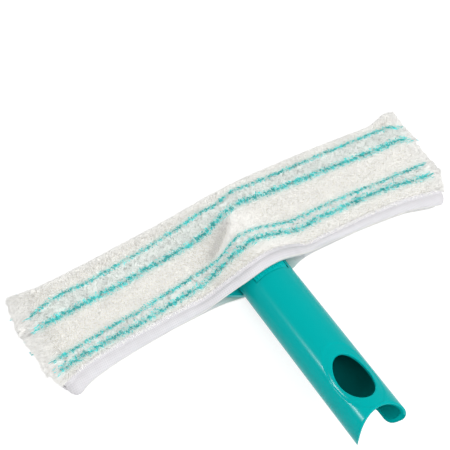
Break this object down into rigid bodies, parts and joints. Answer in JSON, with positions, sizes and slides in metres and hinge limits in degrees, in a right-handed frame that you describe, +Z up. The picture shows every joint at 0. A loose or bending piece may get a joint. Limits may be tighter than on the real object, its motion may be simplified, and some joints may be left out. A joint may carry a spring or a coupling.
{
  "type": "window washer",
  "caption": "Hand-held window washer: a tubular pole-socket handle clicks onto a T-bar head that carries a pull-on pile cover.",
  "frame": {"origin": "centre of the bounding box at the level that the cover lies on", "axes": "+X along the bar, +Y away from the handle, +Z up; the cover lies flat and the handle rises towards -Y"},
  "size_m": [0.29, 0.184, 0.0788],
  "materials": {
    "teal_handle": "smooth glossy injection-moulded plastic",
    "teal_bar": "satin moulded plastic",
    "teal_button": "glossy moulded plastic with grip ribs",
    "spring_steel": "drawn wire",
    "hook_tape": "woven hook tape",
    "loop_tape": "brushed loop tape",
    "pile": "cream microfibre pile with four teal tuft rows",
    "binding_tape": "smooth white knitted binding",
    "seam_cloth": "white woven seam allowance"
  },
  "bodies": {
    "head": {"head_bar": "teal_bar", "handle_tube": "teal_handle", "button_spring": "spring_steel", "hook_strip_left": "hook_tape", "hook_strip_right": "hook_tape"},
    "button": {"release_button": "teal_button"},
    "cover": {"cover_front_panel": "pile", "cover_back_panel": "pile", "front_binding": "binding_tape", "back_binding": "binding_tape", "far_seam": "seam_cloth", "end_seam_left": "seam_cloth", "end_seam_right": "seam_cloth", "loop_strip_left": "loop_tape", "loop_strip_right": "loop_tape"}
  },
  "joints": [
    {"name": "button_press", "type": "slide", "parent": "head", "child": "button", "axis": [0, -0.3746, -0.9272], "range_m": [0, 0.0048], "stiffness_N_per_m": 700, "springref_m": -0.003, "deforming": ["button_spring"]},
    {"name": "cover_pull_off", "type": "slide", "parent": "head", "child": "cover", "axis": [0, 1, 0], "range_m": [0, 0.08]}
  ]
}
